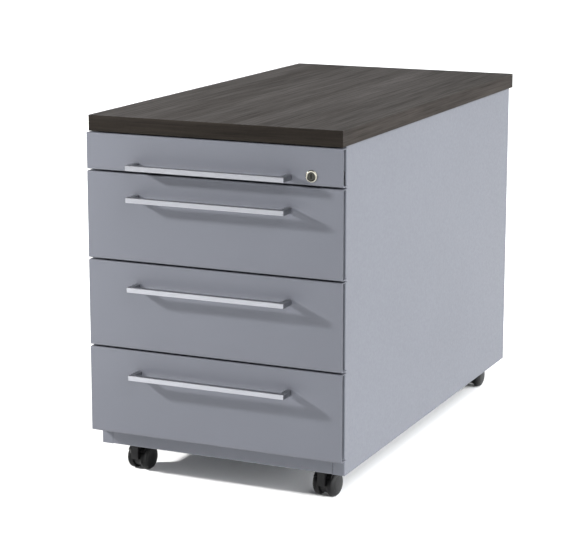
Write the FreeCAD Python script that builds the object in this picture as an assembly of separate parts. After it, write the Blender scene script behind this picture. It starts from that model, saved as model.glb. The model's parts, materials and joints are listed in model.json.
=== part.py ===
import FreeCAD, Part
import math
import os

# Rolling pedestal cabinet: a folded sheet-steel carcass on four twin-wheel casters, with a wooden
# top panel, one shallow and three deep drawers on telescopic runners, bow handles and a central lock.
# Millimetres. +Z is up, +X is to the right of someone who faces the drawers, and they open along -Y.
# The origin is on the floor under the centre of the whole cabinet.

# Overall sizes
total_height = 585.0
front_width = 430.0             # the drawer fronts are the widest thing
top_depth = 800.0

# Top panel
top_thickness = 25.0
top_side_inset = 2.0            # from the end of the fronts to the panel's side
top_edge_radius = 1.0

# Carcass
carcass_side_inset = 5.0        # from the end of the fronts to the carcass side
carcass_front_setback = 20.0    # behind the top panel's front edge
carcass_rear_setback = 10.0
side_depth = 20.0               # across a side panel's folded front and rear edges
side_lip = 15.0                 # inner lip of those edges
sheet = 1.0
bend_radius = 0.8               # inside a fold
band_height = 27.0              # part of the bottom rail that shows under the lowest front
rail_overlap = 3.0              # part of it behind that front
rail_depth = 20.0
back_flange = 12.0
top_rail_drop = 15.0
top_rail_depth = 30.0
base_recess = 4.0               # underside of the base pan above the carcass's bottom edge

# Drawer fronts
shallow_front_height = 57.0
deep_drawer_count = 3
front_lead = 3.0                # ahead of the top panel's front edge
front_depth = 20.0
front_gap = 3.0                 # between two fronts
shadow_gap = 2.0                # between the top front and the top panel
front_lip = 8.0
front_return_inset = 9.0        # from the end of a front to its side return

# Drawer trays
tray_lift = 6.0                 # tray's bottom above its front's bottom edge
tray_drop = 17.0                # tray's rim below its front's top edge
tray_rim_height = 8.0
tray_rim_thickness = 2.0
tray_end_room = 8.0             # tray's back ahead of the runner's end

# Telescopic runners: three nested channels on each side
runner_thickness = 13.0
runner_height = 35.0
runner_sheet = 1.2
runner_centre_lift = 19.0       # runner's centre line above the tray's bottom
runner_front_setback = 12.0     # behind the carcass's front
runner_rear_room = 58.0         # ahead of the carcass's back
ball_room = 3.0                 # height of the ball track between two channels
channel_gap = 1.3               # between the webs and edges of nested channels
outer_flange = 11.0
middle_edge_gap = 1.5           # from the middle channel's edges to the tray
upright_width = 40.0
upright_front_setback = 40.0    # first upright's front edge behind the carcass's front
upright_rear_setback = 180.0    # second upright's rear edge ahead of the carcass's back

# Handles
handle_side_margin = 83.0       # from the end of the front to the handle's end
handle_standoff = 30.0          # from the front's face to the handle's outer face
handle_bar = 8.0                # square bar and posts
handle_edge_radius = 0.8
shallow_handle_lift = 10.5      # bar's centre above the shallow front's bottom edge
deep_handle_drop = 36.0         # bar's centre below a deep front's top edge

# Screws
screw_radius = 2.0
screw_head_radius = 4.0
screw_head_height = 2.5
screw_reach = 8.0               # length held in the piece that takes the thread
screw_end_room = 1.0            # between the end of a handle's screw and of its hole
thread_gap = 0.05
top_screw_side_margin = 90.0    # from the carcass side to the top panel's screws

# Lock
lock_side_distance = 51.0       # from the end of the front to the lock's centre
lock_drop = 43.0                # below the shallow front's top edge
lock_flange_radius = 9.3
lock_flange_thickness = 1.5
lock_body_radius = 8.0
lock_body_gap = 1.5             # behind the lock body, inside the front
lock_core_radius = 6.0
lock_tail_radius = 4.0
running_gap = 0.05              # radial
keyway_width = 1.4
keyway_height = 7.0
keyway_depth = 9.0
cam_thickness = 1.8
cam_bite = 6.0                  # cam over the bar's tab when locked
cam_width = 8.0
cam_gap = 0.6                   # cam behind the front's back plane, and ahead of the carcass
cam_corner_room = 14.0          # tray corner left open on the inner side of the lock

# Central lock bar in the right side panel
bar_width = 12.0
bar_thickness = 2.0
bar_travel = 10.0
bar_front_gap = 0.8             # behind the side panel's front sheet
bar_side_gap = 3.0              # from the side panel's outer sheet
bar_foot = 12.0                 # bar's lower end above the carcass's bottom edge
tab_height = 8.0
tab_touch_gap = 0.5             # between the cam and the tab when locked
tab_side_gap = 1.0              # from the runners' space to the tab
hook_height = 10.0
hook_reach = 10.0
hook_lift = 60.0                # hook above the tray's bottom
slot_gap = 1.5                  # round what passes through a slot
guide_height = 14.0
guide_thickness = 1.6
guide_gap = 0.3

# Pen tray in the shallow drawer
pen_tray_depth = 230.0
pen_tray_height = 24.0
pen_tray_wall = 2.0
pen_tray_gap = 2.0              # inside the drawer tray
pen_tray_front_room = 7.0       # behind the front's back plane
pen_long_slots = 3
pen_cross_pocket = 70.0         # depth of the pocket across the back

# Casters
wheel_radius = 20.0
wheel_top_gap = 14.0            # from the wheels' tops to the carcass's bottom edge
wheel_width = 13.0
wheel_inner_half_gap = 7.0      # from the caster's centre plane to a wheel
wheel_edge_radius = 2.5
wheel_dish_radius = 14.5
wheel_dish_depth = 1.2
wheel_cap = 2.5                 # wheel left solid outside the axle's end
axle_radius = 2.5
caster_trail = 14.0             # axle behind the swivel pin
caster_left_distance = 20.0     # from the opening's left side to the left pins
caster_right_distance = 33.0    # from the opening's right side to the right pins
caster_front_distance = 43.5    # from the carcass's front to the front pins
caster_rear_distance = 34.5
caster_plate_size = 36.0
caster_plate_thickness = 2.5
caster_screw_offset = 13.0
swivel_pin_radius = 4.0
swivel_pin_depth = 22.0
swivel_gap = 0.3                # under the plate
neck_radius = 11.0
web_half_width = 6.5
web_radius = 15.5
web_front = 9.0                 # web ahead of the swivel pin
hood_gap = 1.0
hood_thickness = 2.0
hood_half_width = 15.0
hood_back_angle = 25.0          # above the horizontal, behind the axle
hood_front_angle = 35.0         # above the horizontal, ahead of the axle
caster_yaws = {                 # how each stored caster happens to stand
    "caster_front_left": -7.0,
    "caster_front_right": -5.0,
    "caster_rear_left": 4.0,
    "caster_rear_right": -3.0,
}

# Planes worked out from the sizes above
handle_reach = front_lead + handle_standoff
overall_depth = top_depth + handle_reach
top_front = handle_reach - overall_depth / 2
top_back = overall_depth / 2
top_underside = total_height - top_thickness
carcass_front = top_front + carcass_front_setback
carcass_back = top_back - carcass_rear_setback
face_plane = top_front - front_lead
front_back_plane = face_plane + front_depth
half_front = front_width / 2
half_top = half_front - top_side_inset
half_carcass = half_front - carcass_side_inset
half_opening = half_carcass - side_depth
half_tray = half_opening - runner_thickness
floor_clearance = 2 * wheel_radius + wheel_top_gap
base_underside = floor_clearance + base_recess
rail_top = floor_clearance + band_height + rail_overlap
deep_stack = (top_underside - shadow_gap - shallow_front_height - floor_clearance - band_height
              - deep_drawer_count * front_gap)
deep_front_height = deep_stack / deep_drawer_count
runner_front = carcass_front + runner_front_setback
runner_back = carcass_back - runner_rear_room
runner_length = runner_back - runner_front
tray_back = runner_back - tray_end_room
handle_half = half_front - handle_side_margin
handle_outer = face_plane - handle_standoff
handle_inner = handle_outer + handle_bar
handle_screw_x = handle_half - handle_bar / 2
lock_x = half_front - lock_side_distance
tab_inner = half_opening + tab_side_gap
cam_length = tab_inner + cam_bite - lock_x
cam_front = front_back_plane + cam_gap
bar_outer = half_carcass - sheet - bar_side_gap
bar_front = carcass_front + sheet + bar_front_gap
caster_left_x = caster_left_distance - half_opening
caster_right_x = half_opening - caster_right_distance
caster_front_y = carcass_front + caster_front_distance
caster_rear_y = carcass_back - caster_rear_distance
plate_bottom = base_underside - caster_plate_thickness

UP = FreeCAD.Vector(0, 0, 1)
RIGHT = FreeCAD.Vector(1, 0, 0)
BACK = FreeCAD.Vector(0, 1, 0)
ORIGIN = FreeCAD.Vector(0, 0, 0)


def point(x, y, z):
    return FreeCAD.Vector(x, y, z)


def box(x_span, y_span, z_span):
    """Block between two values on each axis."""
    low = point(x_span[0], y_span[0], z_span[0])
    return Part.makeBox(x_span[1] - x_span[0], y_span[1] - y_span[0], z_span[1] - z_span[0], low)


def rod(radius, start, end):
    """Round bar between two points."""
    return Part.makeCylinder(radius, (end - start).Length, start, end - start)


def fused(first, *others):
    """One solid from several that touch."""
    joined = first.multiFuse(list(others)).removeSplitter()
    return joined.Solids[0]


def mirrored(shape):
    """The same piece on the other side of the cabinet."""
    return shape.mirror(ORIGIN, RIGHT)


def save(name, *solids):
    """Write one named piece, or one group of like pieces, to its own file."""
    shape = solids[0] if len(solids) == 1 else Part.makeCompound(list(solids))
    shape.exportStep(os.path.join("parts", name + ".step"))


def rounded_edges(points, radii):
    """Straight edges through the points, with an arc of the given radius at each square corner."""
    edges = []
    last = points[0]
    for before, corner, after, radius in zip(points, points[1:], points[2:], radii):
        inward = (before - corner).normalize()
        onward = (after - corner).normalize()
        start = corner + inward * radius
        end = corner + onward * radius
        middle = corner + (inward + onward) * (radius * (1 - math.sqrt(0.5)))
        edges.append(Part.LineSegment(last, start).toShape())
        edges.append(Part.Arc(start, middle, end).toShape())
        last = end
    edges.append(Part.LineSegment(last, points[-1]).toShape())
    return edges


def folded_sheet(corners, run, thickness=sheet):
    """Sheet folded at square corners and run straight along a vector.

    The corners follow one side of the sheet. Its thickness is on their left, seen with the run
    pointing at the viewer.
    """
    across = FreeCAD.Vector(run).normalize()
    steps = [after - before for before, after in zip(corners, corners[1:])]
    lefts = [across.cross(FreeCAD.Vector(step).normalize()) * thickness for step in steps]
    far = [corners[0] + lefts[0]]
    near_radii = []
    far_radii = []
    for index in range(1, len(corners) - 1):
        far.append(corners[index] + lefts[index - 1] + lefts[index])
        turns_left = steps[index - 1].cross(steps[index]).dot(across) > 0
        near_radii.append(bend_radius + thickness if turns_left else bend_radius)
        far_radii.append(bend_radius if turns_left else bend_radius + thickness)
    far.append(corners[-1] + lefts[-1])
    outline = rounded_edges(corners, near_radii)
    outline += rounded_edges(far, far_radii)
    outline.append(Part.LineSegment(corners[0], far[0]).toShape())
    outline.append(Part.LineSegment(corners[-1], far[-1]).toShape())
    return Part.Face(Part.Wire(Part.__sortEdges__(outline))).extrude(run)


def screw(head_base, direction, length):
    """Pan-head screw whose shank starts at its head's flat side and runs along a direction."""
    shank = rod(screw_radius, head_base, head_base + direction * length)
    head = rod(screw_head_radius, head_base - direction * screw_head_height, head_base)
    return fused(shank, head)


def screw_hole(head_base, direction, length):
    """Room for a screw's shank."""
    return rod(screw_radius + thread_gap, head_base, head_base + direction * length)


def front_spans():
    """Lowest and highest Z of each drawer's front, from the top drawer down."""
    spans = []
    top = top_underside - shadow_gap
    for height in [shallow_front_height] + [deep_front_height] * deep_drawer_count:
        spans.append((top - height, top))
        top -= height + front_gap
    return spans


def tray_span(span):
    """Lowest and highest Z of the tray behind a front."""
    return span[0] + tray_lift, span[1] - tray_drop


def runner_centre(span):
    """Z of the centre line of a drawer's runners."""
    return tray_span(span)[0] + runner_centre_lift


def handle_height(index, span):
    """Z of the centre of a drawer's handle bar."""
    if index == 0:
        return span[0] + shallow_handle_lift
    return span[1] - deep_handle_drop


def lock_height():
    """Z of the lock's centre."""
    return front_spans()[0][1] - lock_drop


# Top panel and its screws

def top_screw_points():
    """Where the top panel's screws go up through the front and rear top rails."""
    side = half_carcass - top_screw_side_margin
    rail_middles = (carcass_front + top_rail_depth / 2, carcass_back - back_flange - top_rail_depth / 2)
    return [point(x, y, top_underside - sheet) for x in (-side, side) for y in rail_middles]


def top_panel():
    panel = box((-half_top, half_top), (top_front, top_back), (top_underside, total_height))
    panel = panel.makeFillet(top_edge_radius, panel.Edges)
    for place in top_screw_points():
        panel = panel.cut(screw_hole(place, UP, sheet + screw_reach))
    return panel


def top_screws():
    return [screw(place, UP, sheet + screw_reach) for place in top_screw_points()]


# Carcass

def bar_hook_height(span):
    """Lowest Z of the lock bar's hook beside a drawer."""
    return tray_span(span)[0] + hook_lift


def tab_top():
    """Highest Z of the lock bar's tab when unlocked."""
    return lock_height() - cam_width / 2 - tab_touch_gap + bar_travel


def side_panel():
    """Right side: one sheet folded round the front and rear edges, closed at the top and bottom."""
    inner = half_opening
    corners = [
        point(inner, carcass_front + side_lip, floor_clearance),
        point(inner, carcass_front, floor_clearance),
        point(half_carcass, carcass_front, floor_clearance),
        point(half_carcass, carcass_back, floor_clearance),
        point(inner, carcass_back, floor_clearance),
        point(inner, carcass_back - side_lip, floor_clearance),
    ]
    skin = folded_sheet(corners, UP * (top_underside - floor_clearance))
    ends = []
    for low in (floor_clearance, top_underside - sheet):
        x_span = (inner, half_carcass - sheet / 2)
        y_span = (carcass_front + sheet / 2, carcass_back - sheet / 2)
        ends.append(box(x_span, y_span, (low, low + sheet)))
    return fused(skin, *ends)


def side_panel_right():
    """Side panel with the slots that the lock bar's tab and hooks pass through."""
    tab_slot = box((bar_outer - bar_width - slot_gap, bar_outer + slot_gap),
                   (carcass_front - sheet, carcass_front + 2 * sheet),
                   (tab_top() - tab_height - bar_travel - slot_gap, tab_top() + slot_gap))
    panel = side_panel().cut(tab_slot)
    for span in front_spans()[1:]:
        low = bar_hook_height(span)
        hook_slot = box((half_opening - sheet, half_opening + 2 * sheet),
                        (bar_front - slot_gap / 2, bar_front + bar_thickness + slot_gap),
                        (low - bar_travel - slot_gap, low + hook_height + slot_gap))
        panel = panel.cut(hook_slot)
    return panel.removeSplitter().Solids[0]


def back_panel():
    """Rear sheet folded forward between the side panels, with a flange along the bottom."""
    corners = [
        point(half_opening, carcass_back - back_flange, floor_clearance),
        point(half_opening, carcass_back, floor_clearance),
        point(-half_opening, carcass_back, floor_clearance),
        point(-half_opening, carcass_back - back_flange, floor_clearance),
    ]
    skin = folded_sheet(corners, UP * (top_underside - floor_clearance))
    flange = box((-half_opening + sheet / 2, half_opening - sheet / 2),
                 (carcass_back - back_flange, carcass_back - sheet / 2),
                 (floor_clearance, floor_clearance + sheet))
    return fused(skin, flange)


def base_pan():
    """Floor of the carcass, folded down at both sides, with the casters screwed under it."""
    rear = carcass_back - back_flange
    front = carcass_front + rail_depth
    top = base_underside + sheet
    corners = [
        point(half_opening, rear, floor_clearance),
        point(half_opening, rear, top),
        point(-half_opening, rear, top),
        point(-half_opening, rear, floor_clearance),
    ]
    pan = folded_sheet(corners, BACK * (front - rear))
    for place in caster_screw_points():
        pan = pan.cut(screw_hole(place, UP, caster_plate_thickness + screw_reach))
    return pan


def bottom_front_rail():
    """Channel under the lowest front."""
    corners = [
        point(-half_opening, carcass_front + rail_depth, rail_top),
        point(-half_opening, carcass_front, rail_top),
        point(-half_opening, carcass_front, floor_clearance),
        point(-half_opening, carcass_front + rail_depth, floor_clearance),
    ]
    return folded_sheet(corners, RIGHT * (2 * half_opening))


def drill_for_top_screws(rail):
    for place in top_screw_points():
        rail = rail.cut(screw_hole(place, UP, sheet + screw_reach))
    return rail


def top_rail_front():
    """Angle that ties the side panels together under the front of the top panel."""
    corners = [
        point(-half_opening, carcass_front + top_rail_depth, top_underside),
        point(-half_opening, carcass_front, top_underside),
        point(-half_opening, carcass_front, top_underside - top_rail_drop),
    ]
    return drill_for_top_screws(folded_sheet(corners, RIGHT * (2 * half_opening)))


def top_rail_rear():
    """Angle that ties the side panels together ahead of the back panel's flanges."""
    rear = carcass_back - back_flange
    corners = [
        point(-half_opening, rear, top_underside - top_rail_drop),
        point(-half_opening, rear, top_underside),
        point(-half_opening, rear - top_rail_depth, top_underside),
    ]
    return drill_for_top_screws(folded_sheet(corners, RIGHT * (2 * half_opening)))


def runner_uprights():
    """Channels inside each side panel that the runners are fixed to."""
    starts = (carcass_front + upright_front_setback,
              carcass_back - upright_rear_setback - upright_width)
    low = floor_clearance + sheet
    outer = half_carcass - sheet
    uprights = []
    for start in starts:
        corners = [
            point(outer, start + upright_width, low),
            point(half_opening, start + upright_width, low),
            point(half_opening, start, low),
            point(outer, start, low),
        ]
        upright = folded_sheet(corners, UP * (top_underside - sheet - low))
        uprights += [upright, mirrored(upright)]
    return uprights


# Runners

def channel(web_x, edge_x, centre_z, half_height):
    """Runner channel from its flat web to its two long edges, at the right of the cabinet."""
    corners = [
        point(edge_x, runner_back, centre_z - half_height),
        point(web_x, runner_back, centre_z - half_height),
        point(web_x, runner_back, centre_z + half_height),
        point(edge_x, runner_back, centre_z + half_height),
    ]
    if edge_x > web_x:
        corners.reverse()
    return folded_sheet(corners, BACK * -runner_length, runner_sheet)


def outer_channel(centre_z):
    return channel(half_opening, half_opening - outer_flange, centre_z, runner_height / 2)


def middle_half_height():
    return runner_height / 2 - runner_sheet - ball_room


def middle_web():
    """Outer side of the middle channel's web."""
    return half_opening - runner_sheet - channel_gap


def middle_channel(centre_z):
    return channel(middle_web(), half_tray + middle_edge_gap, centre_z, middle_half_height())


def inner_channel(centre_z):
    half_height = middle_half_height() - runner_sheet - ball_room
    edge = middle_web() - runner_sheet - channel_gap
    return channel(half_tray, edge, centre_z, half_height)


def runner_pair(make_channel, centre_z):
    right = make_channel(centre_z)
    return [right, mirrored(right)]


# Drawers

def lock_hole():
    z = lock_height()
    start = point(lock_x, face_plane - sheet, z)
    return rod(lock_body_radius + thread_gap, start, point(lock_x, face_plane + 2 * sheet, z))


def handle_screw_points(z):
    """Where the handle's screw heads bear on the back of the front's sheet."""
    return [point(x, face_plane + sheet, z) for x in (-handle_screw_x, handle_screw_x)]


def drawer_front(index, span):
    """Sheet folded into a shallow pan, open to the rear. Its side returns are set in from its ends,
    and its lips stop at them."""
    low, high = span
    corners = [
        point(-half_front, front_back_plane, high - front_lip),
        point(-half_front, front_back_plane, high),
        point(-half_front, face_plane, high),
        point(-half_front, face_plane, low),
        point(-half_front, front_back_plane, low),
        point(-half_front, front_back_plane, low + front_lip),
    ]
    skin = folded_sheet(corners, RIGHT * front_width)
    outer = half_front - front_return_inset
    lip_end = box((outer, half_front + sheet),
                  (front_back_plane - sheet - bend_radius, front_back_plane + sheet),
                  (low - sheet, high + sheet))
    skin = skin.cut(lip_end).cut(mirrored(lip_end))
    side_return = box((outer - sheet, outer), (face_plane + sheet / 2, front_back_plane),
                      (low + sheet / 2, high - sheet / 2))
    front = fused(skin, side_return, mirrored(side_return))
    for place in handle_screw_points(handle_height(index, span)):
        front = front.cut(screw_hole(place, BACK * -1, sheet + screw_reach))
    if index == 0:
        front = front.cut(lock_hole())
    return front


def drawer_tray(index, span):
    """Folded box behind a front, with a thicker hem round its rim."""
    low, high = tray_span(span)
    inner = half_tray - sheet
    hem = half_tray - tray_rim_thickness
    start = front_back_plane
    tray = box((-half_tray, half_tray), (start, tray_back), (low, high))
    tray = tray.cut(box((-hem, hem), (start + tray_rim_thickness, tray_back - tray_rim_thickness),
                        (low + sheet, high)))
    below_hem = box((-inner, inner), (start + sheet, tray_back - sheet),
                    (low + sheet, high - tray_rim_height))
    tray = tray.cut(below_hem)
    if index == 0:
        corner = box((lock_x - cam_corner_room, half_tray + sheet),
                     (start - sheet, carcass_front + sheet), (low + sheet + cam_gap, high + sheet))
        tray = tray.cut(corner)
    return tray.removeSplitter().Solids[0]


def drawer_handle(z):
    """Square bow: a bar with a post at each end, level with the bar's end."""
    half = handle_bar / 2
    bar = box((-handle_half, handle_half), (handle_outer, handle_inner), (z - half, z + half))
    post = box((handle_half - handle_bar, handle_half), (handle_outer, face_plane),
               (z - half, z + half))
    bow = fused(bar, post, mirrored(post))
    outer_edges = [edge for edge in bow.Edges if edge.CenterOfMass.y < handle_outer + half / 2]
    bow = bow.makeFillet(handle_edge_radius, outer_edges)
    for place in handle_screw_points(z):
        bow = bow.cut(screw_hole(place, BACK * -1, sheet + screw_reach))
    return bow


def handle_screws(z):
    length = sheet + screw_reach - screw_end_room
    return [screw(place, BACK * -1, length) for place in handle_screw_points(z)]


def pen_tray(span):
    """Moulded insert with long slots side by side and one pocket across the back."""
    low = tray_span(span)[0] + sheet
    half = half_tray - sheet - pen_tray_gap
    front = front_back_plane + pen_tray_front_room
    top = low + pen_tray_height
    insert = box((-half, half), (front, front + pen_tray_depth), (low, top))
    floor = low + pen_tray_wall
    back = front + pen_tray_depth - pen_tray_wall
    divider_y = back - pen_cross_pocket
    pocket = box((-half + pen_tray_wall, half - pen_tray_wall), (divider_y, back), (floor, top))
    insert = insert.cut(pocket)
    pitch = (2 * half - pen_tray_wall) / pen_long_slots
    for index in range(pen_long_slots):
        left = -half + pen_tray_wall + index * pitch
        slot = box((left, left + pitch - pen_tray_wall),
                   (front + pen_tray_wall, divider_y - pen_tray_wall), (floor, top))
        insert = insert.cut(slot)
    return insert


# Lock

def lock_housing():
    """Sleeve with a round flange on the front's face."""
    z = lock_height()
    outside = point(lock_x, face_plane - lock_flange_thickness, z)
    face = point(lock_x, face_plane, z)
    inside = point(lock_x, front_back_plane - sheet - lock_body_gap, z)
    sleeve = fused(rod(lock_flange_radius, outside, face), rod(lock_body_radius, face, inside))
    return sleeve.cut(rod(lock_core_radius + running_gap, outside, inside))


def lock_core():
    """Turning core with its keyway and the tail that carries the cam."""
    z = lock_height()
    outside = point(lock_x, face_plane - lock_flange_thickness, z)
    inside = point(lock_x, front_back_plane - sheet - lock_body_gap, z)
    tail_end = point(lock_x, cam_front + cam_thickness, z)
    core = fused(rod(lock_core_radius, outside, inside), rod(lock_tail_radius, inside, tail_end))
    keyway = box((lock_x - keyway_width / 2, lock_x + keyway_width / 2),
                 (outside.y, outside.y + keyway_depth),
                 (z - keyway_height / 2, z + keyway_height / 2))
    return core.cut(keyway)


def lock_cam():
    """Flat arm on the core's tail. It points up when unlocked and to the side when locked."""
    z = lock_height()
    y_span = (cam_front, cam_front + cam_thickness)
    arm = box((lock_x - cam_width / 2, lock_x + cam_width / 2), y_span, (z, z + cam_length))
    start = point(lock_x, cam_front, z)
    end = point(lock_x, cam_front + cam_thickness, z)
    arm = fused(arm, rod(lock_tail_radius + sheet, start, end))
    return arm.cut(rod(lock_tail_radius, start, end))


def lock_bar():
    """Flat bar behind the right front edge, with a tab for the cam and a hook beside each deep drawer."""
    inner = bar_outer - bar_width
    x_span = (inner, bar_outer)
    y_span = (bar_front, bar_front + bar_thickness)
    foot = floor_clearance + bar_foot + bar_travel
    top = tab_top()
    strip = box(x_span, y_span, (foot, top))
    nose = box(x_span, (cam_front, bar_front + bar_thickness), (top - tab_height, top))
    tab = box((tab_inner, bar_outer), (cam_front, cam_front + cam_thickness), (top - tab_height, top))
    hooks = []
    for span in front_spans()[1:]:
        low = bar_hook_height(span)
        hooks.append(box((inner - hook_reach, inner), y_span, (low, low + hook_height)))
    return fused(strip, nose, tab, *hooks)


def lock_bar_guides():
    """Two clips on the right side panel that the bar slides in."""
    inner = bar_outer - bar_width
    clip_x = (inner - guide_thickness - guide_gap, bar_outer + guide_thickness + guide_gap)
    clip_y = (carcass_front + sheet, bar_front + bar_thickness + guide_gap + guide_thickness)
    room_x = (inner - guide_gap, bar_outer + guide_gap)
    room_y = (carcass_front, bar_front + bar_thickness + guide_gap)
    spans = front_spans()
    clips = []
    for low in (spans[-1][0] + guide_height, spans[1][1] - 2 * guide_height):
        clip = box(clip_x, clip_y, (low, low + guide_height))
        clips.append(clip.cut(box(room_x, room_y, (low, low + guide_height))))
    return clips


# Casters

def caster_places():
    """Name, X and Y of each caster's swivel pin."""
    places = []
    for end, y in (("front", caster_front_y), ("rear", caster_rear_y)):
        for side, x in (("left", caster_left_x), ("right", caster_right_x)):
            places.append(("caster_%s_%s" % (end, side), x, y))
    return places


def caster_screw_points():
    """Where the plates' screws go up into the base pan."""
    offsets = (-caster_screw_offset, caster_screw_offset)
    return [point(x + dx, y + dy, plate_bottom)
            for name, x, y in caster_places() for dx in offsets for dy in offsets]


def caster_plates():
    """Square plates under the base pan."""
    half = caster_plate_size / 2
    plates = []
    for name, x, y in caster_places():
        plate = box((x - half, x + half), (y - half, y + half), (plate_bottom, base_underside))
        for place in caster_screw_points():
            plate = plate.cut(screw_hole(place, UP, caster_plate_thickness))
        plates.append(plate)
    return plates


def caster_pins():
    """Swivel pins that stand down from the plates."""
    return [rod(swivel_pin_radius, point(x, y, plate_bottom - swivel_pin_depth), point(x, y, plate_bottom))
            for name, x, y in caster_places()]


def caster_screws():
    length = caster_plate_thickness + screw_reach
    return [screw(place, UP, length) for place in caster_screw_points()]


def hood():
    """Curved guard over the tops of both wheels."""
    inner_radius = wheel_radius + hood_gap
    start = point(-hood_half_width, caster_trail, wheel_radius)
    end = point(hood_half_width, caster_trail, wheel_radius)
    ring = rod(inner_radius + hood_thickness, start, end).cut(rod(inner_radius, start, end))
    well_outside = 4 * wheel_radius
    corners = [start]
    for angle in (hood_back_angle, 90.0, 180.0 - hood_front_angle):
        turn = math.radians(angle)
        corners.append(start + point(0, math.cos(turn), math.sin(turn)) * well_outside)
    corners.append(start)
    wedge = Part.Face(Part.makePolygon(corners)).extrude(end - start)
    return ring.common(wedge)


def caster_housing():
    """Swivel body: a web between the wheels, a neck round the swivel pin and the hood."""
    neck_top = plate_bottom - swivel_gap
    neck_low = 2 * wheel_radius + hood_gap
    web_span = (-web_half_width, web_half_width)
    disc = rod(web_radius, point(web_span[0], caster_trail, wheel_radius),
               point(web_span[1], caster_trail, wheel_radius))
    web = box(web_span, (-web_front, caster_trail), (wheel_radius, neck_low))
    neck = rod(neck_radius, point(0, 0, neck_low), point(0, 0, neck_top))
    body = fused(disc, web, neck, hood())
    pin_end = plate_bottom - swivel_pin_depth - swivel_gap
    body = body.cut(rod(swivel_pin_radius + running_gap, point(0, 0, pin_end), point(0, 0, neck_top)))
    axle_room = rod(axle_radius, point(web_span[0], caster_trail, wheel_radius),
                    point(web_span[1], caster_trail, wheel_radius))
    return body.cut(axle_room)


def caster_axle():
    half = wheel_inner_half_gap + wheel_width - wheel_cap - swivel_gap
    return rod(axle_radius, point(-half, caster_trail, wheel_radius),
               point(half, caster_trail, wheel_radius))


def caster_wheel():
    """Right wheel: rounded tread, shallow dish outside, and a blind bore for the axle."""
    inner = point(wheel_inner_half_gap, caster_trail, wheel_radius)
    outer = inner + RIGHT * wheel_width
    tyre = rod(wheel_radius, inner, outer)
    rims = [edge for edge in tyre.Edges if isinstance(edge.Curve, Part.Circle)]
    tyre = tyre.makeFillet(wheel_edge_radius, rims)
    dish = rod(wheel_dish_radius, outer - RIGHT * wheel_dish_depth, outer)
    bore = rod(axle_radius + running_gap, inner, outer - RIGHT * wheel_cap)
    return tyre.cut(dish).cut(bore)


def stand_caster(shape, name, x, y):
    """Turn a caster's piece to how that caster stands and move it under its plate."""
    placed = shape.copy()
    placed.rotate(ORIGIN, UP, caster_yaws[name])
    placed.translate(point(x, y, 0))
    return placed


def build_carcass():
    save("top_panel", top_panel())
    save("top_screws", *top_screws())
    save("side_panel_left", mirrored(side_panel()))
    save("side_panel_right", side_panel_right())
    save("back_panel", back_panel())
    save("base_pan", base_pan())
    save("bottom_front_rail", bottom_front_rail())
    save("top_rail_front", top_rail_front())
    save("top_rail_rear", top_rail_rear())
    save("runner_uprights", *runner_uprights())
    outer_channels = []
    for span in front_spans():
        outer_channels += runner_pair(outer_channel, runner_centre(span))
    save("runner_outer_channels", *outer_channels)
    save("lock_bar_guides", *lock_bar_guides())
    save("caster_plates", *caster_plates())
    save("caster_pins", *caster_pins())
    save("caster_screws", *caster_screws())


def build_drawers():
    for index, span in enumerate(front_spans()):
        name = "drawer_%d" % (index + 1)
        z = handle_height(index, span)
        save(name + "_front", drawer_front(index, span))
        save(name + "_tray", drawer_tray(index, span))
        save(name + "_handle", drawer_handle(z))
        save(name + "_handle_screws", *handle_screws(z))
        save(name + "_runner_inner", *runner_pair(inner_channel, runner_centre(span)))
        save(name + "_runner_middle", *runner_pair(middle_channel, runner_centre(span)))
    save("pen_tray", pen_tray(front_spans()[0]))


def build_lock():
    save("lock_housing", lock_housing())
    save("lock_core", lock_core())
    save("lock_cam", lock_cam())
    save("lock_bar", lock_bar())


def build_casters():
    for name, x, y in caster_places():
        wheel = caster_wheel()
        save(name + "_housing", stand_caster(caster_housing(), name, x, y))
        save(name + "_axle", stand_caster(caster_axle(), name, x, y))
        save(name + "_wheel_right", stand_caster(wheel, name, x, y))
        save(name + "_wheel_left", stand_caster(mirrored(wheel), name, x, y))


os.makedirs("parts", exist_ok=True)
build_carcass()
build_drawers()
build_lock()
build_casters()
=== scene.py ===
import bpy
import bmesh
import json
import math
from mathutils import Matrix, Vector

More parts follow.
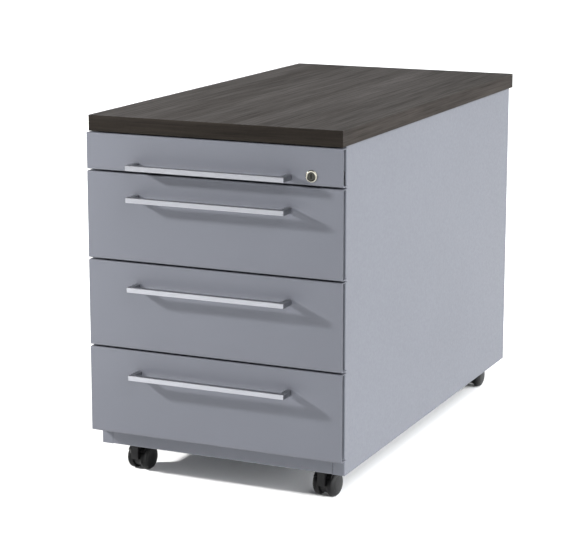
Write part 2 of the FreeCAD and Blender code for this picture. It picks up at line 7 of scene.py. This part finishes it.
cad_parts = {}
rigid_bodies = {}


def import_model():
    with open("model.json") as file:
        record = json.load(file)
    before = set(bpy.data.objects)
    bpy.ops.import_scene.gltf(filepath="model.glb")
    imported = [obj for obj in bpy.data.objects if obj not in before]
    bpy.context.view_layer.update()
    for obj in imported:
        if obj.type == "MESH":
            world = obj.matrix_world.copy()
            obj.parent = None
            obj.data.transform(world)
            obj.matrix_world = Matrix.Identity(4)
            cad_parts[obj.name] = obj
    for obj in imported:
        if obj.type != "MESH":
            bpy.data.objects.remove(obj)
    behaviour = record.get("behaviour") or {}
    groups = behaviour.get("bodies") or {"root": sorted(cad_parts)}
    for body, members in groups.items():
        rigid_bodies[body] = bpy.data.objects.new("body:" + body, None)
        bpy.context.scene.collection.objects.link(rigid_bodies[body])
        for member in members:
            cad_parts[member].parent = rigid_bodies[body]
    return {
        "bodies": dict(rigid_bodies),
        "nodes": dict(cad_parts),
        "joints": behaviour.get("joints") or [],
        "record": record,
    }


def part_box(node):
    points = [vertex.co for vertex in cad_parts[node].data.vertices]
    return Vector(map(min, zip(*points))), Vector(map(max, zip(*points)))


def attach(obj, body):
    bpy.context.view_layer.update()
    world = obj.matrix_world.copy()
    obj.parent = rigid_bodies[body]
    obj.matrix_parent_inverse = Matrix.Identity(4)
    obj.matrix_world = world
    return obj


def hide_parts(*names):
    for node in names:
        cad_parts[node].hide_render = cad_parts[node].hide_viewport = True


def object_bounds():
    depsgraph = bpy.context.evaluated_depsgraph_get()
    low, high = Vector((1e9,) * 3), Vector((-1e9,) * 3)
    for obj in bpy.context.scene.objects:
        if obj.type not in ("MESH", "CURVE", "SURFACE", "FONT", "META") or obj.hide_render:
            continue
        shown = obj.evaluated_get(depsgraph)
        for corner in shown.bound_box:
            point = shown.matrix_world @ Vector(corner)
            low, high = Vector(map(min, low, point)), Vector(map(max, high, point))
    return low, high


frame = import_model()
nodes = frame["nodes"]
cad_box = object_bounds()

MM = 0.001
CASTERS = [body for body in frame["bodies"] if body.startswith("caster") and "wheel" not in body]
DRAWERS = range(1, 1 + sum(node.endswith("_runner_middle") for node in nodes))

# ---- Camera, about 1 m up and some 3 m off the right front corner: metres, degrees, lens in mm
CAMERA_PLACE = Vector((1.2949, -2.9794, 0.9896))
CAMERA_YAW = 24.41
CAMERA_PITCH = 11.38
CAMERA_LENS = 124.16
CAMERA_SHIFT_Y = -0.0608
CAMERA_REACH = 100.0

# ---- Studio: a room that is white where it is seen and dimmer as a light, and a pale floor
SEEN_WHITE = (1.0, 1.0, 1.0)
SEEN_STRENGTH = 1.0
LIT_WHITE = (0.96, 0.98, 1.0)
LIT_STRENGTH = 0.13
FAR_LIGHT_DISTANCE = 3.0
FLOOR_HALF = 30.0
FLOOR_WHITE = (0.88, 0.88, 0.88)
FLOOR_ROUGHNESS = 0.9

# ---- Colours: the board's sheet, front band and side bands, each from dark to light; then the paints
TOP_BROWNS = ((0.026, 0.023, 0.021), (0.039, 0.036, 0.034), (0.054, 0.050, 0.048))
END_BROWNS = ((0.0060, 0.0045, 0.0032), (0.0105, 0.0083, 0.0065), (0.0175, 0.0145, 0.0120))
BAND_BROWNS = ((0.013, 0.011, 0.009), (0.021, 0.018, 0.016), (0.030, 0.026, 0.023))
# The fronts' coat is the carcass's coat made about a tenth darker: painted shade on the fronts
SHADED_FRONT_PAINT = (0.082, 0.086, 0.101)
CARCASS_PAINT = (0.092, 0.097, 0.113)
TRAY_PAINT = (0.085, 0.088, 0.100)
HANDLE_METAL = (0.26, 0.265, 0.285)
LOCK_NICKEL = (0.30, 0.29, 0.25)
# The lock core's nickel, made nearly black: painted shade on the core
LOCK_CORE_SHADED_NICKEL = (0.045, 0.045, 0.040)
ZINC_DARK = (0.20, 0.205, 0.215)
ZINC_LIGHT = (0.27, 0.275, 0.285)
INSERT_BLACK = (0.010, 0.010, 0.011)
CASTER_BLACK = (0.0028, 0.0028, 0.0031)
WHEEL_BLACK = (0.0034, 0.0034, 0.0037)

# ---- Sizes of the detailed pieces, in millimetres and degrees
REVOLVE_STEPS = 96
SHARP_ANGLE = 32

TREAD_RADIUS = 20.0
GROOVE_RADIUS = 19.3
INNER_FACE = 7.0
OUTER_FACE = 20.0
AXLE_HOLE_RADIUS = 3.0
AXLE_HOLE_END = 14.0
# A wheel's section from its inner face outward, as (distance from the caster's middle, radius):
# grooved tread, one round side that carries a fine seam round its cap, and the blind axle hole
WHEEL_OUTLINE = (
    (INNER_FACE, AXLE_HOLE_RADIUS), (INNER_FACE, 16.8), (7.3, 18.6), (8.2, 19.6),
    (9.4, TREAD_RADIUS), (10.4, TREAD_RADIUS), (10.6, GROOVE_RADIUS), (11.1, GROOVE_RADIUS),
    (11.3, TREAD_RADIUS), (12.7, TREAD_RADIUS), (12.9, GROOVE_RADIUS), (13.4, GROOVE_RADIUS),
    (13.6, 19.9), (14.8, 19.6), (15.9, 19.0), (16.9, 18.1), (17.8, 16.8), (18.5, 15.2),
    (18.9, 13.8), (18.7, 13.4), (18.9, 13.0),
    (19.2, 12.4), (19.6, 9.8), (19.8, 7.0), (19.95, 4.0), (OUTER_FACE, 0.0),
    (AXLE_HOLE_END, 0.0), (AXLE_HOLE_END, AXLE_HOLE_RADIUS),
)

LOCK_FLANGE_THICKNESS = 1.5
LOCK_FLANGE_RADIUS = 9.3
LOCK_SLEEVE_RADIUS = 8.0
LOCK_BORE_RADIUS = 6.15
# The flange's dished face from the bore outward, as (depth behind its foremost ring, radius)
LOCK_FACE = ((0.5, LOCK_BORE_RADIUS), (0.35, 6.5), (0.2, 7.2), (0.0, 7.9), (0.1, 8.5), (0.5, 9.05),
             (1.0, LOCK_FLANGE_RADIUS))

CAGE_LENGTH = 340.0
CAGE_END_ROOM = 10.0
CAGE_SHEET = 0.5
CAGE_ARM_PAST_BALLS = 2.0
BALL_RADIUS = 1.45
BALL_PITCH = 12.0
# Sideways from the middle channel's outer face to a cage's back and balls, and up from the channel's
# top to the cage's arm: one cage runs outside the middle channel, one inside it
OUTER_CAGE_BACK = 1.0
OUTER_CAGE_BALLS = -4.0
OUTER_CAGE_LIFT = 1.75
INNER_CAGE_BACK = -1.4
INNER_CAGE_BALLS = -6.0
INNER_CAGE_LIFT = -2.45

ROUNDED_ANGLE = 50
ROUNDING_SEGMENTS = 2
TRAY_ROUNDING = 0.4
HOUSING_ROUNDING = 0.8
EDGE_ROUNDINGS = {"pen_tray": 0.8, "lock_core": 0.3, "bottom_front_rail": 0.2}
EDGE_ROUNDINGS.update({"drawer_%d_tray" % index: TRAY_ROUNDING for index in DRAWERS})
EDGE_ROUNDINGS.update({caster + "_housing": HOUSING_ROUNDING for caster in CASTERS})


# ---- Camera and studio
def make_camera():
    data = bpy.data.cameras.new("camera")
    data.lens = CAMERA_LENS
    data.shift_y = CAMERA_SHIFT_Y
    data.clip_end = CAMERA_REACH
    camera = bpy.data.objects.new("camera", data)
    camera.location = CAMERA_PLACE
    camera.rotation_euler = (math.radians(90 - CAMERA_PITCH), 0, math.radians(CAMERA_YAW))
    bpy.context.scene.collection.objects.link(camera)
    bpy.context.scene.camera = camera


def place_light(data, name, direction, distance):
    """Turn a light towards the cabinet's middle from a direction."""
    light = bpy.data.objects.new(name, data)
    towards = Vector(direction).normalized()
    middle = (cad_box[0] + cad_box[1]) / 2
    light.location = middle + towards * distance
    light.rotation_euler = towards.to_track_quat("Z", "Y").to_euler()
    bpy.context.scene.collection.objects.link(light)


def soft_box(name, direction, distance, size, power, colour):
    data = bpy.data.lights.new(name, "AREA")
    data.size = size
    data.energy = power
    data.color = colour
    place_light(data, name, direction, distance)


def far_light(name, direction, spread, strength, colour):
    """Even light from a wide patch of wall or ceiling far away."""
    data = bpy.data.lights.new(name, "SUN")
    data.angle = math.radians(spread)
    data.energy = strength
    data.color = colour
    place_light(data, name, direction, FAR_LIGHT_DISTANCE)


def make_lights():
    soft_box("key", direction=(-0.755, -0.533, 0.383), distance=2.6, size=0.18, power=132,
             colour=(1.0, 0.99, 0.98))
    far_light("right_wall", direction=(0.92, -0.03, 0.38), spread=100, strength=10.6,
              colour=(0.98, 0.99, 1.0))
    far_light("ceiling", direction=(0.1, 0.2, 1.0), spread=60, strength=1.0, colour=(1.0, 1.0, 1.0))


def make_surroundings():
    """White room: bright where it is seen, dimmer as a light so that the lamps give the shape."""
    world = bpy.data.worlds.new("studio")
    world.use_nodes = True
    tree = world.node_tree
    seen = tree.nodes["Background"]
    seen.inputs["Color"].default_value = (*SEEN_WHITE, 1)
    seen.inputs["Strength"].default_value = SEEN_STRENGTH
    lit = tree.nodes.new("ShaderNodeBackground")
    lit.inputs["Color"].default_value = (*LIT_WHITE, 1)
    lit.inputs["Strength"].default_value = LIT_STRENGTH
    path = tree.nodes.new("ShaderNodeLightPath")
    choice = tree.nodes.new("ShaderNodeMixShader")
    tree.links.new(path.outputs["Is Camera Ray"], choice.inputs["Fac"])
    tree.links.new(lit.outputs["Background"], choice.inputs[1])
    tree.links.new(seen.outputs["Background"], choice.inputs[2])
    tree.links.new(choice.outputs["Shader"], tree.nodes["World Output"].inputs["Surface"])
    bpy.context.scene.world = world


def make_floor():
    corners = [(x, y, 0) for x, y in ((-FLOOR_HALF, -FLOOR_HALF), (FLOOR_HALF, -FLOOR_HALF),
                                      (FLOOR_HALF, FLOOR_HALF), (-FLOOR_HALF, FLOOR_HALF))]
    mesh = bpy.data.meshes.new("floor")
    mesh.from_pydata(corners, [], [range(len(corners))])
    floor = bpy.data.objects.new("floor", mesh)
    bpy.context.scene.collection.objects.link(floor)
    material, shader, _ = new_material("floor_white")
    shader.inputs["Base Color"].default_value = (*FLOOR_WHITE, 1)
    shader.inputs["Roughness"].default_value = FLOOR_ROUGHNESS
    mesh.materials.append(material)


# ---- Parts of materials
FACING_LEAST = 0.8
LINES_ALONG_X = (0.02, 1, 1)
LINES_ALONG_Z = (1, 1, 0.02)


def new_material(name):
    material = bpy.data.materials.new(name)
    material.use_nodes = True
    tree = material.node_tree
    return material, tree.nodes["Principled BSDF"], tree


def coordinates(tree, scale=(1, 1, 1)):
    """Places on the object, in metres, stretched per axis."""
    place = tree.nodes.new("ShaderNodeTexCoord")
    mapping = tree.nodes.new("ShaderNodeMapping")
    mapping.inputs["Scale"].default_value = scale
    tree.links.new(place.outputs["Object"], mapping.inputs["Vector"])
    return mapping.outputs["Vector"]


def noise(tree, vector, scale, detail, roughness=0.5, distortion=0.0):
    node = tree.nodes.new("ShaderNodeTexNoise")
    node.inputs["Scale"].default_value = scale
    node.inputs["Detail"].default_value = detail
    node.inputs["Roughness"].default_value = roughness
    node.inputs["Distortion"].default_value = distortion
    tree.links.new(vector, node.inputs["Vector"])
    return node.outputs["Fac"]


def ramp(tree, factor, stops):
    """Colour ramp from (place, grey or colour) stops."""
    node = tree.nodes.new("ShaderNodeValToRGB")
    elements = node.color_ramp.elements
    while len(elements) < len(stops):
        elements.new(0.5)
    for element, (place, colour) in zip(elements, stops):
        if isinstance(colour, (int, float)):
            colour = (colour, colour, colour)
        element.position = place
        element.color = (*colour, 1)
    tree.links.new(factor, node.inputs["Fac"])
    return node.outputs["Color"]


def bump(tree, shader, height, strength, distance):
    node = tree.nodes.new("ShaderNodeBump")
    node.inputs["Strength"].default_value = strength
    node.inputs["Distance"].default_value = distance
    tree.links.new(height, node.inputs["Height"])
    tree.links.new(node.outputs["Normal"], shader.inputs["Normal"])


def mixed(tree, factor, first, second, blend="MIX"):
    """Mix of two colour sockets; factor is a socket or a number.

    The node has a set of sockets for each kind of value. Those for colours are picked by their place.
    """
    node = tree.nodes.new("ShaderNodeMix")
    node.data_type = "RGBA"
    node.blend_type = blend
    factor_socket, first_socket, second_socket = (node.inputs[place] for place in (0, 6, 7))
    if isinstance(factor, bpy.types.NodeSocket):
        tree.links.new(factor, factor_socket)
    else:
        factor_socket.default_value = factor
    tree.links.new(first, first_socket)
    tree.links.new(second, second_socket)
    return node.outputs[2]


def multiplied(tree, first, second):
    return mixed(tree, 1.0, first, second, "MULTIPLY")


def shaded(colour, factor):
    return [channel * factor for channel in colour]


def facing(tree, axis):
    """1 where the surface faces along an axis of the object, either way, else 0."""
    place = tree.nodes.new("ShaderNodeTexCoord")
    split = tree.nodes.new("ShaderNodeSeparateXYZ")
    tree.links.new(place.outputs["Normal"], split.inputs["Vector"])
    size = tree.nodes.new("ShaderNodeMath")
    size.operation = "ABSOLUTE"
    tree.links.new(split.outputs[axis], size.inputs[0])
    step = tree.nodes.new("ShaderNodeMath")
    step.operation = "GREATER_THAN"
    step.inputs[1].default_value = FACING_LEAST
    tree.links.new(size.outputs["Value"], step.inputs[0])
    return step.outputs["Value"]


def grain(tree, stretch, fine_stretch, colours):
    """Oak print: broad streaks, fine grain lines and short pores along one axis."""
    broad = noise(tree, coordinates(tree, stretch), scale=22, detail=5, roughness=0.55, distortion=0.6)
    lines = noise(tree, coordinates(tree, fine_stretch), scale=420, detail=4, roughness=0.6)
    pores = noise(tree, coordinates(tree, fine_stretch), scale=1300, detail=2)
    base = ramp(tree, broad, list(zip((0.28, 0.48, 0.72), colours)))
    streaks = ramp(tree, lines, [(0.30, 0.62), (0.50, 1.0), (0.74, 1.30)])
    specks = ramp(tree, pores, [(0.34, 0.62), (0.44, 1.0)])
    return multiplied(tree, multiplied(tree, base, streaks), specks), lines, pores


# ---- Materials
def powder_coat(name, colour, roughness=0.42):
    """Silver-grey coat with a fine orange peel, small flakes and slightly uneven gloss."""
    material, shader, tree = new_material(name)
    even = coordinates(tree)
    shader.inputs["Specular IOR Level"].default_value = 0.22
    flakes = ramp(tree, noise(tree, even, scale=2600, detail=1),
                  [(0.35, shaded(colour, 0.93)), (0.65, shaded(colour, 1.07))])
    patches = ramp(tree, noise(tree, even, scale=5, detail=2), [(0.3, 0.96), (0.7, 1.0)])
    tree.links.new(multiplied(tree, flakes, patches), shader.inputs["Base Color"])
    gloss = ramp(tree, noise(tree, even, scale=240, detail=3),
                 [(0.3, roughness - 0.04), (0.7, roughness + 0.05)])
    tree.links.new(gloss, shader.inputs["Roughness"])
    bump(tree, shader, noise(tree, even, scale=700, detail=2), strength=0.12, distance=0.0002)
    return material


def wood_laminate(name):
    """Dark brown-grey laminate: grain along the depth, and along the width on the front edge band."""
    material, shader, tree = new_material(name)
    along_depth = {"stretch": (1, 0.06, 1), "fine_stretch": (1, 0.014, 1)}
    along_width = {"stretch": (0.06, 1, 1), "fine_stretch": (0.014, 1, 1)}
    sheet, lines, pores = grain(tree, colours=TOP_BROWNS, **along_depth)
    end_band, _, _ = grain(tree, colours=END_BROWNS, **along_width)
    side_band, _, _ = grain(tree, colours=BAND_BROWNS, **along_depth)
    colour = mixed(tree, facing(tree, "Y"), sheet, end_band)
    colour = mixed(tree, facing(tree, "X"), colour, side_band)
    tree.links.new(colour, shader.inputs["Base Color"])
    gloss = ramp(tree, lines, [(0.3, 0.82), (0.7, 0.66)])
    tree.links.new(gloss, shader.inputs["Roughness"])
    shader.inputs["Specular IOR Level"].default_value = 0.06
    bump(tree, shader, pores, strength=0.25, distance=0.0001)
    return material


def brushed_metal(name, colour, stretch, roughness):
    """Bright metal with fine lines along the axis that is stretched."""
    material, shader, tree = new_material(name)
    lines = noise(tree, coordinates(tree, stretch), scale=2200, detail=3, roughness=0.6)
    shader.inputs["Metallic"].default_value = 1.0
    shade = ramp(tree, lines, [(0.3, shaded(colour, 0.9)), (0.7, colour)])
    tree.links.new(shade, shader.inputs["Base Color"])
    gloss = ramp(tree, lines, [(0.3, roughness + 0.07), (0.7, roughness - 0.05)])
    tree.links.new(gloss, shader.inputs["Roughness"])
    bump(tree, shader, lines, strength=0.1, distance=0.00005)
    return material


def zinc_plate(name):
    """Bright zinc with faint spangles and small scuffs."""
    material, shader, tree = new_material(name)
    even = coordinates(tree)
    cells = tree.nodes.new("ShaderNodeTexVoronoi")
    cells.inputs["Scale"].default_value = 260
    tree.links.new(even, cells.inputs["Vector"])
    shader.inputs["Metallic"].default_value = 0.9
    shade = ramp(tree, cells.outputs["Distance"], [(0.1, ZINC_DARK), (0.8, ZINC_LIGHT)])
    tree.links.new(shade, shader.inputs["Base Color"])
    gloss = ramp(tree, noise(tree, even, scale=90, detail=4), [(0.3, 0.30), (0.7, 0.46)])
    tree.links.new(gloss, shader.inputs["Roughness"])
    bump(tree, shader, noise(tree, even, scale=900, detail=2), strength=0.08, distance=0.0001)
    return material


def moulded_plastic(name, colour, roughness, grain_scale=900):
    """Plastic with a spark-eroded grain."""
    material, shader, tree = new_material(name)
    even = coordinates(tree)
    grains = noise(tree, even, scale=grain_scale, detail=3, roughness=0.6)
    shade = ramp(tree, noise(tree, even, scale=30, detail=3),
                 [(0.3, shaded(colour, 0.85)), (0.7, colour)])
    tree.links.new(shade, shader.inputs["Base Color"])
    gloss = ramp(tree, grains, [(0.3, roughness - 0.06), (0.7, roughness + 0.08)])
    tree.links.new(gloss, shader.inputs["Roughness"])
    shader.inputs["Specular IOR Level"].default_value = 0.2
    bump(tree, shader, grains, strength=0.2, distance=0.0001)
    return material


MATERIALS = {
    "top_board": wood_laminate("laminate"),
    # Darker copy of the carcass coat: painted shade on the fronts
    "front_paint": powder_coat("front_coat_with_painted_shade", SHADED_FRONT_PAINT),
    "carcass_paint": powder_coat("carcass_coat", CARCASS_PAINT),
    "tray_paint": powder_coat("tray_coat", TRAY_PAINT, roughness=0.5),
    "handle_metal": brushed_metal("handle_satin", HANDLE_METAL, LINES_ALONG_X, roughness=0.36),
    "zinc_steel": zinc_plate("bright_zinc"),
    "lock_nickel": brushed_metal("lock_nickel", LOCK_NICKEL, LINES_ALONG_Z, roughness=0.14),
    "insert_plastic": moulded_plastic("insert_black", INSERT_BLACK, roughness=0.5),
    "caster_plastic": moulded_plastic("caster_black", CASTER_BLACK, roughness=0.48),
    "wheel_plastic": moulded_plastic("wheel_black", WHEEL_BLACK, roughness=0.42, grain_scale=700),
}

# Nodes whose material differs from the rest of their slot; the lock core's nearly black nickel is
# painted shade
NODE_MATERIALS = {
    "lock_core": brushed_metal("lock_core_painted_shade", LOCK_CORE_SHADED_NICKEL, LINES_ALONG_X, roughness=0.16),
}


# ---- Nodes carried over from the CAD
def finish_cad_nodes():
    """Give every carried-over node its own material or the material of its slot."""
    for part in frame["record"]["subparts"]:
        node = nodes[part["node"]]
        material = NODE_MATERIALS.get(part["node"], MATERIALS[part["material_slot"]])
        if not node.data.materials:
            node.data.materials.append(material)
        for place in node.material_slots:
            place.link = "OBJECT"
            place.material = material


def soften_edges():
    """Small rounding on the square-cut solids, so that their edges catch the light."""
    for node, width in EDGE_ROUNDINGS.items():
        rounding = nodes[node].modifiers.new("rounding", "BEVEL")
        rounding.width = width * MM
        rounding.segments = ROUNDING_SEGMENTS
        rounding.limit_method = "ANGLE"
        rounding.angle_limit = math.radians(ROUNDED_ANGLE)


# ---- Detailed pieces
def new_piece(name, mesh_maker, slot, body):
    """Turn a filled bmesh into a smooth piece with its slot's material that rides on a body."""
    bmesh.ops.recalc_face_normals(mesh_maker, faces=mesh_maker.faces)
    for face in mesh_maker.faces:
        face.smooth = True
    mesh = bpy.data.meshes.new(name)
    mesh_maker.to_mesh(mesh)
    mesh_maker.free()
    mesh.set_sharp_from_angle(angle=math.radians(SHARP_ANGLE))
    mesh.materials.append(MATERIALS[slot])
    piece = bpy.data.objects.new(name, mesh)
    bpy.context.scene.collection.objects.link(piece)
    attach(piece, body)
    return piece


def revolve(mesh_maker, outline, place, axis):
    """Spin a closed outline of (distance along the axis, radius) points, in millimetres."""
    along = Vector(axis).normalized()
    side = along.orthogonal().normalized()
    other = along.cross(side)
    rings = []
    for distance, radius in outline:
        centre = Vector(place) + along * distance * MM
        if radius == 0:
            rings.append([mesh_maker.verts.new(centre)] * REVOLVE_STEPS)
            continue
        ring = []
        for step in range(REVOLVE_STEPS):
            turn = 2 * math.pi * step / REVOLVE_STEPS
            arm = side * math.cos(turn) + other * math.sin(turn)
            ring.append(mesh_maker.verts.new(centre + arm * radius * MM))
        rings.append(ring)
    for first, second in zip(rings, rings[1:] + rings[:1]):
        for step in range(REVOLVE_STEPS):
            after = (step + 1) % REVOLVE_STEPS
            corners = [first[step], first[after], second[after], second[step]]
            corners = list(dict.fromkeys(corners))
            if len(corners) > 2:
                mesh_maker.faces.new(corners)


def caster_wheels():
    for joint in frame["joints"]:
        if not joint["name"].endswith("_roll"):
            continue
        wheel = joint["child"]
        outward = 1 if wheel.endswith("_right") else -1
        outline = [(outward * distance, radius) for distance, radius in WHEEL_OUTLINE]
        mesh_maker = bmesh.new()
        revolve(mesh_maker, outline, joint["pos_m"], joint["axis"])
        piece = new_piece(wheel + "_tyre", mesh_maker, "wheel_plastic", wheel)
        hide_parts(wheel)


def lock_rosette():
    """Sleeve with a dished flange whose rim is rounded."""
    low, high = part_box("lock_housing")
    sleeve_end = LOCK_FLANGE_THICKNESS - (high.y - low.y) / MM
    outline = [(sleeve_end, LOCK_BORE_RADIUS)]
    outline += [(LOCK_FLANGE_THICKNESS - depth, radius) for depth, radius in LOCK_FACE]
    outline += [(0.0, LOCK_FLANGE_RADIUS), (0.0, LOCK_SLEEVE_RADIUS), (sleeve_end, LOCK_SLEEVE_RADIUS)]
    centre = (low + high) / 2
    mesh_maker = bmesh.new()
    revolve(mesh_maker, outline, (centre.x, low.y + LOCK_FLANGE_THICKNESS * MM, centre.z), (0, -1, 0))
    piece = new_piece("lock_rosette", mesh_maker, "lock_nickel", "drawer_1")
    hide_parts("lock_housing")


def cage_section(back_x, end_x, lift):
    """A C's outer line from its upper to its lower arm's end, then its inner line back up."""
    inner_x = back_x - CAGE_SHEET
    inner_lift = lift - CAGE_SHEET
    return ((end_x, lift), (back_x, lift), (back_x, -lift), (end_x, -lift),
            (end_x, -inner_lift), (inner_x, -inner_lift), (inner_x, inner_lift), (end_x, inner_lift))


def add_ball_cage(mesh_maker, side, back_x, ball_x, ball_lift, centre_z, start_y):
    """Strip folded to a C, with a row of balls along its upper and lower arm; sizes in millimetres."""
    section = cage_section(back_x, ball_x - CAGE_ARM_PAST_BALLS, ball_lift)
    first, second = ([mesh_maker.verts.new(Vector((side * x, y, centre_z + z)) * MM) for x, z in section]
                     for y in (start_y, start_y + CAGE_LENGTH))
    for step in range(len(section)):
        after = (step + 1) % len(section)
        mesh_maker.faces.new((first[step], first[after], second[after], second[step]))
    mesh_maker.faces.new(first)
    mesh_maker.faces.new(second)
    for index in range(int(CAGE_LENGTH / BALL_PITCH)):
        y = start_y + BALL_PITCH * (index + 0.5)
        for lift in (ball_lift - CAGE_SHEET / 2, CAGE_SHEET / 2 - ball_lift):
            place = Matrix.Translation(Vector((side * ball_x, y, centre_z + lift)) * MM)
            bmesh.ops.create_icosphere(mesh_maker, subdivisions=2, radius=BALL_RADIUS * MM, matrix=place)


def ball_cages():
    """Cages between the three channels of each runner. They ride with the middle channel."""
    for index in DRAWERS:
        low, high = (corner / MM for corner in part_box("drawer_%d_runner_middle" % index))
        centre_z = (low.z + high.z) / 2
        half_height = (high.z - low.z) / 2
        mesh_maker = bmesh.new()
        for side in (-1, 1):
            add_ball_cage(mesh_maker, side, high.x + OUTER_CAGE_BACK, high.x + OUTER_CAGE_BALLS,
                          half_height + OUTER_CAGE_LIFT, centre_z, high.y - CAGE_END_ROOM - CAGE_LENGTH)
            add_ball_cage(mesh_maker, side, high.x + INNER_CAGE_BACK, high.x + INNER_CAGE_BALLS,
                          half_height + INNER_CAGE_LIFT, centre_z, low.y + CAGE_END_ROOM)
        new_piece("runner_%d_ball_cages" % index, mesh_maker, "zinc_steel", "runner_%d_middle" % index)


make_camera()
make_lights()
make_surroundings()
make_floor()
finish_cad_nodes()
soften_edges()
caster_wheels()
lock_rosette()
ball_cages()
bpy.context.scene.view_settings.view_transform = "Standard"
